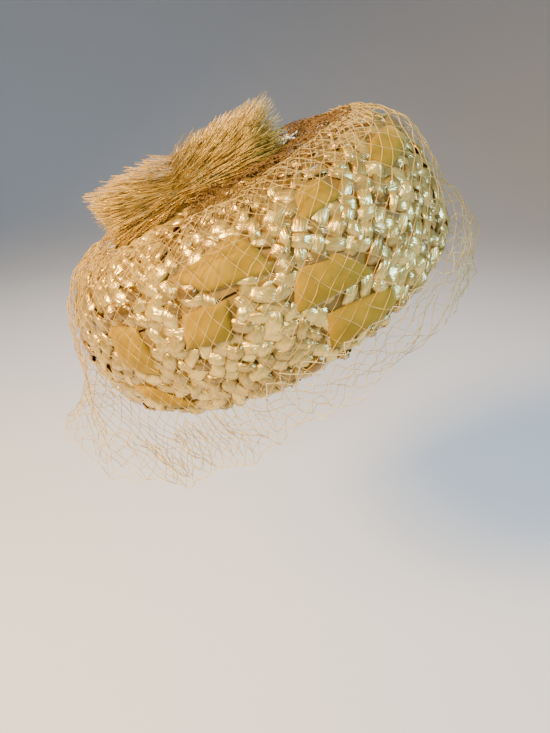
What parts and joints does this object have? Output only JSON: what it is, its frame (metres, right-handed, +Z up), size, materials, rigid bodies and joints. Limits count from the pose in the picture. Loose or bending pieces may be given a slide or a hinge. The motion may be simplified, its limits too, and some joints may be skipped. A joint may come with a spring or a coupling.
{
  "type": "pillbox hat",
  "caption": "Oval straw pillbox hat worn tilted back, with velvet ribbon folds, a coarse net veil falling past the rim and a brush pompom on the tip.",
  "frame": {"origin": "centre of the head opening, in the plane of the rim's front and back ends", "axes": "+Z up as worn, -Y the way the wearer faces, -X the wearer's right; the opening is tilted back 27 degrees about X"},
  "size_m": [0.1852, 0.2426, 0.1885],
  "materials": {
    "straw": "glossy pale gold cellophane straw, plaited",
    "velvet": "olive gold velvet ribbon",
    "net": "beige knotted net",
    "fibre": "cut golden straw fibre"
  },
  "bodies": {
    "root": {"straw_crown": "straw", "straw_shoulder": "straw", "straw_tip": "straw", "velvet_temple_low_right": "velvet", "velvet_temple_high_right": "velvet", "velvet_ear_low_right": "velvet", "velvet_ear_high_right": "velvet", "velvet_nape_low_right": "velvet", "velvet_nape_high_right": "velvet", "velvet_tip_front_right": "velvet", "velvet_tip_side_right": "velvet", "velvet_temple_low_left": "velvet", "velvet_temple_high_left": "velvet", "velvet_ear_low_left": "velvet", "velvet_ear_high_left": "velvet", "velvet_nape_low_left": "velvet", "velvet_nape_high_left": "velvet", "velvet_tip_front_left": "velvet", "velvet_tip_side_left": "velvet", "veil": "net", "brush_pompom": "fibre"}
  },
  "joints": []
}
